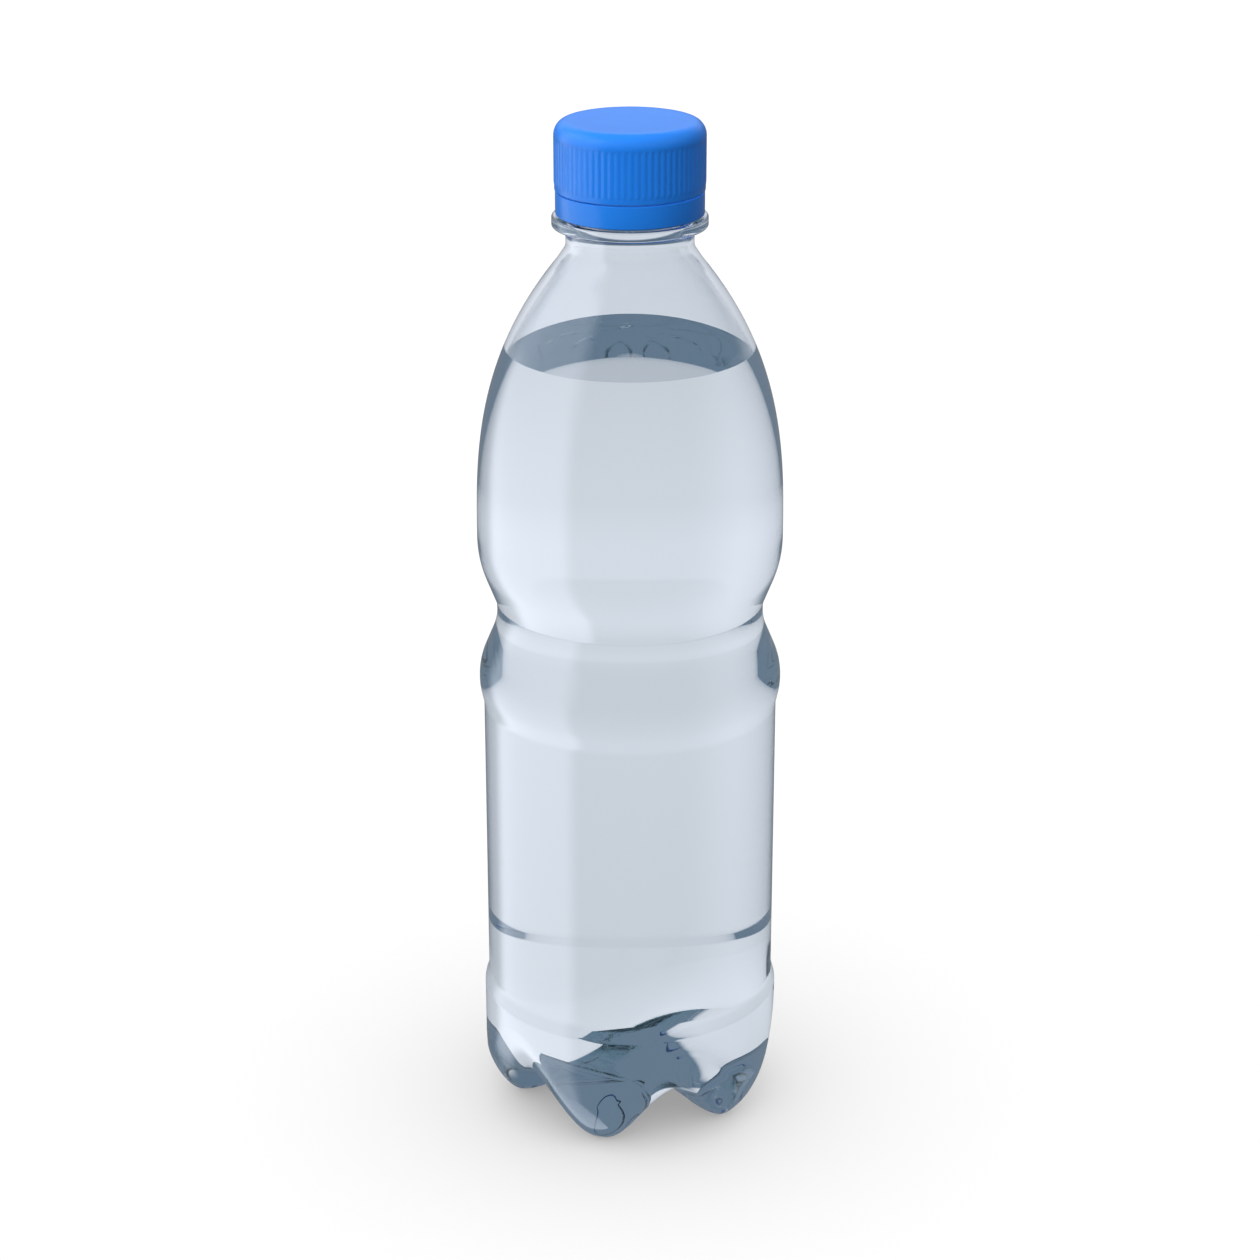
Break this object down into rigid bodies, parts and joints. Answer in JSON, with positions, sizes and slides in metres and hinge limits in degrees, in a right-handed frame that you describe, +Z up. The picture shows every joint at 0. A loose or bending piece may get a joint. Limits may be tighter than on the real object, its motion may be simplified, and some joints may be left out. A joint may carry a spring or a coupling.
{
  "type": "full clear plastic drinks bottle with screw cap, intact rather than crushed",
  "caption": "Full half-litre clear plastic drinks bottle with a round shoulder, narrow waist, plain label panel, petal-shaped feet and a ribbed blue screw cap.",
  "frame": {"origin": "on the ground, in the middle of the five feet, on the bottle's axis", "axes": "+Z up the bottle's axis, one foot towards -Y"},
  "size_m": [0.066, 0.066, 0.225],
  "materials": {
    "clear_pet": "clear, glossy blow-moulded PET",
    "still_water": "clear still water",
    "cap_blue": "satin injection-moulded blue polyethylene",
    "liner_white": "matt white foamed disc"
  },
  "bodies": {
    "bottle": {"bottle_shell": "clear_pet", "tamper_band": "cap_blue", "water": "still_water"},
    "liner": {"cap_liner": "liner_white"},
    "cap": {"screw_cap": "cap_blue"}
  },
  "joints": [
    {"name": "cap_rise", "type": "slide", "parent": "bottle", "child": "liner", "axis": [0, 0, 1], "range_m": [0, 0.0136]},
    {"name": "cap_turn", "type": "hinge", "parent": "liner", "child": "cap", "pos_m": [0, 0, 0.2105], "axis": [0, 0, 1], "range_deg": [0, 1800]}
  ],
  "couplings": [
    {"joint": "cap_rise", "follows": "cap_turn", "m_per_rad": 0.00042972}
  ]
}
